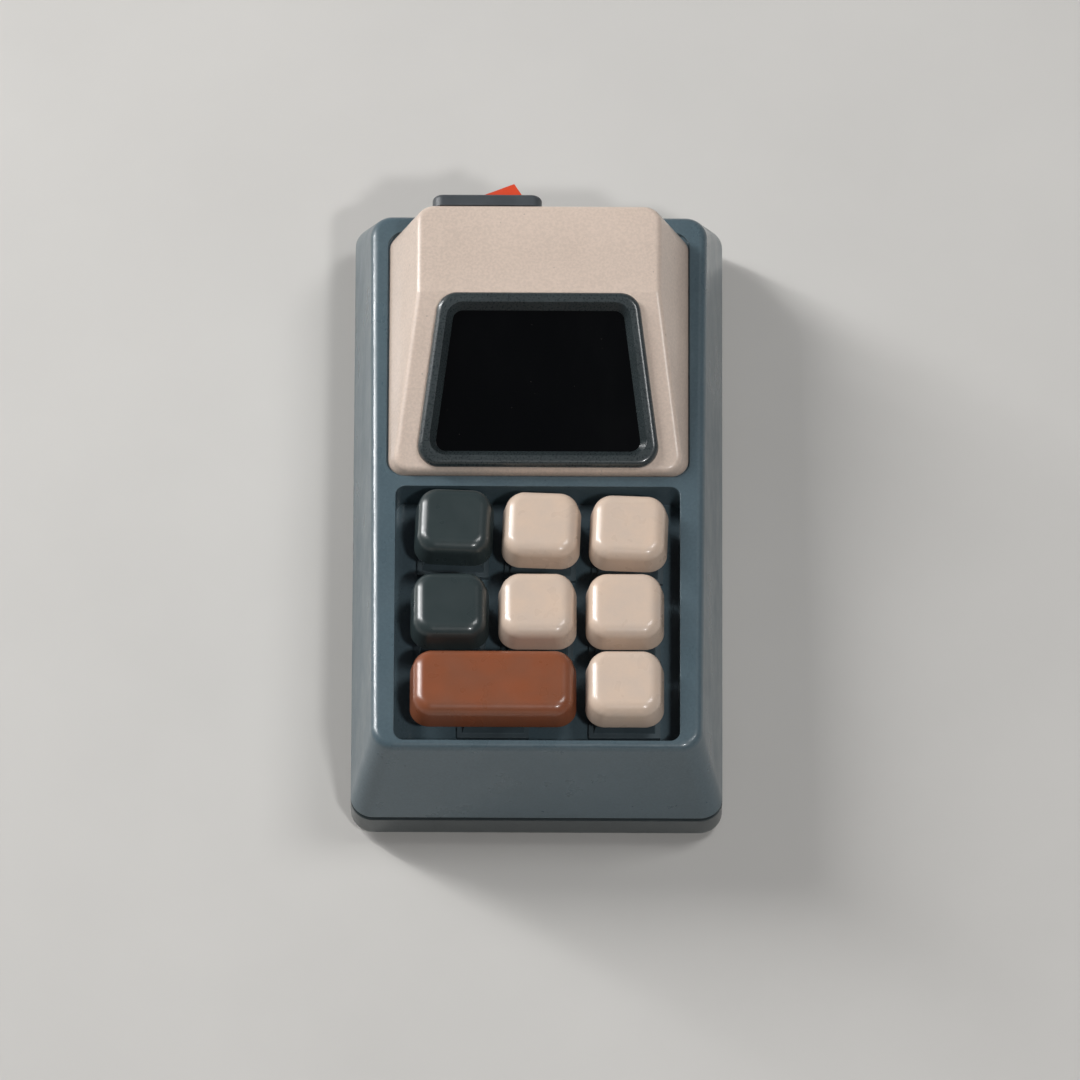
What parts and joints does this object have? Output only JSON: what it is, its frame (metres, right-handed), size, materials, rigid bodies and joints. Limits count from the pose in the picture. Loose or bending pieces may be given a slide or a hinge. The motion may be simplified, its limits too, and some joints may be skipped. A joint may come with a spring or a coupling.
{
  "type": "personal digital assistant",
  "caption": "Chunky hand-held digital assistant with a raised wedge-shaped display hood, a recessed keypad of sprung keycaps and a rocker power switch on its end.",
  "frame": {"origin": "centre of the footprint, on the surface that the rubber feet stand on, with the device lying on its back", "axes": "+X to the right seen from the front, +Y from the chin towards the power switch end, +Z out of the back through the keys and the screen"},
  "size_m": [0.081, 0.144, 0.0462],
  "materials": {
    "slate_shell": "satin paint over a printed shell",
    "cover_shell": "satin",
    "tan_shell": "satin paint over a printed shell",
    "bezel_charcoal": "semi-gloss",
    "lens_black": "gloss",
    "cap_charcoal": "semi-gloss",
    "cap_beige": "semi-gloss",
    "cap_brown": "semi-gloss",
    "stem_plastic": "matte",
    "switch_plastic": "matte",
    "spring_steel": "drawn wire",
    "foot_rubber": "matte",
    "insert_brass": "machined",
    "contact_brass": "stamped",
    "screw_steel": "machined",
    "shield_steel": "stamped",
    "foam_black": "foam",
    "panel_glass": "matte",
    "board_laminate": "solder mask",
    "black_plastic": "matte",
    "switch_frame": "satin",
    "rocker_red": "semi-gloss",
    "battery_foil": "laminated foil",
    "wire_cover": "flexible",
    "ribbon_film": "film"
  },
  "bodies": {
    "root": {"back_cover": "cover_shell", "battery": "battery_foil", "battery_lead": "wire_cover", "battery_pad": "foam_black", "board_screws": "screw_steel", "case_inserts": "insert_brass", "case_screws": "screw_steel", "charging_port": "shield_steel", "display_bezel": "bezel_charcoal", "display_board": "board_laminate", "display_gasket": "foam_black", "display_hood": "tan_shell", "display_lens": "lens_black", "display_panel": "panel_glass", "display_ribbon": "ribbon_film", "display_screws": "screw_steel", "display_socket": "black_plastic", "front_housing": "slate_shell", "hood_screws": "screw_steel", "key_spring_r1c1": "spring_steel", "key_spring_r1c2": "spring_steel", "key_spring_r1c3": "spring_steel", "key_spring_r2c1": "spring_steel", "key_spring_r2c2": "spring_steel", "key_spring_r2c3": "spring_steel", "key_spring_r3c1": "spring_steel", "key_spring_r3c3": "spring_steel", "key_switch_r1c1": "switch_plastic", "key_switch_r1c2": "switch_plastic", "key_switch_r1c3": "switch_plastic", "key_switch_r2c1": "switch_plastic", "key_switch_r2c2": "switch_plastic", "key_switch_r2c3": "switch_plastic", "key_switch_r3c1": "switch_plastic", "key_switch_r3c3": "switch_plastic", "keypad_board": "board_laminate", "main_board": "board_laminate", "power_switch": "switch_frame", "processor_module": "shield_steel", "rubber_feet": "foot_rubber", "switch_terminals": "contact_brass", "switch_wires": "wire_cover", "wire_headers": "black_plastic"},
    "key_r1c1": {"key_stem_r1c1": "stem_plastic", "keycap_r1c1": "cap_charcoal"},
    "key_r1c2": {"key_stem_r1c2": "stem_plastic", "keycap_r1c2": "cap_beige"},
    "key_r1c3": {"key_stem_r1c3": "stem_plastic", "keycap_r1c3": "cap_beige"},
    "key_r2c1": {"key_stem_r2c1": "stem_plastic", "keycap_r2c1": "cap_charcoal"},
    "key_r2c2": {"key_stem_r2c2": "stem_plastic", "keycap_r2c2": "cap_beige"},
    "key_r2c3": {"key_stem_r2c3": "stem_plastic", "keycap_r2c3": "cap_beige"},
    "key_r3c1": {"key_stem_r3c1": "stem_plastic", "keycap_r3c1": "cap_brown"},
    "key_r3c3": {"key_stem_r3c3": "stem_plastic", "keycap_r3c3": "cap_beige"},
    "rocker": {"power_rocker": "rocker_red"}
  },
  "joints": [
    {"name": "key_r1c1_press", "type": "slide", "parent": "root", "child": "key_r1c1", "axis": [0, -0.0436, -0.999], "range_m": [0, 0.004], "stiffness_N_per_m": 150, "springref_m": -0.002, "deforming": ["key_spring_r1c1"]},
    {"name": "key_r1c2_press", "type": "slide", "parent": "root", "child": "key_r1c2", "axis": [0, -0.0436, -0.999], "range_m": [0, 0.004], "stiffness_N_per_m": 150, "springref_m": -0.002, "deforming": ["key_spring_r1c2"]},
    {"name": "key_r1c3_press", "type": "slide", "parent": "root", "child": "key_r1c3", "axis": [0, -0.0436, -0.999], "range_m": [0, 0.004], "stiffness_N_per_m": 150, "springref_m": -0.002, "deforming": ["key_spring_r1c3"]},
    {"name": "key_r2c1_press", "type": "slide", "parent": "root", "child": "key_r2c1", "axis": [0, -0.0436, -0.999], "range_m": [0, 0.004], "stiffness_N_per_m": 150, "springref_m": -0.002, "deforming": ["key_spring_r2c1"]},
    {"name": "key_r2c2_press", "type": "slide", "parent": "root", "child": "key_r2c2", "axis": [0, -0.0436, -0.999], "range_m": [0, 0.004], "stiffness_N_per_m": 150, "springref_m": -0.002, "deforming": ["key_spring_r2c2"]},
    {"name": "key_r2c3_press", "type": "slide", "parent": "root", "child": "key_r2c3", "axis": [0, -0.0436, -0.999], "range_m": [0, 0.004], "stiffness_N_per_m": 150, "springref_m": -0.002, "deforming": ["key_spring_r2c3"]},
    {"name": "key_r3c1_press", "type": "slide", "parent": "root", "child": "key_r3c1", "axis": [0, -0.0436, -0.999], "range_m": [0, 0.004], "stiffness_N_per_m": 150, "springref_m": -0.002, "deforming": ["key_spring_r3c1"]},
    {"name": "key_r3c3_press", "type": "slide", "parent": "root", "child": "key_r3c3", "axis": [0, -0.0436, -0.999], "range_m": [0, 0.004], "stiffness_N_per_m": 150, "springref_m": -0.002, "deforming": ["key_spring_r3c3"]},
    {"name": "power_rocker_tilt", "type": "hinge", "parent": "root", "child": "rocker", "pos_m": [-0.0114, 0.06082, 0.03706], "axis": [0, -0.0436, -0.999], "range_deg": [0, 23]}
  ]
}
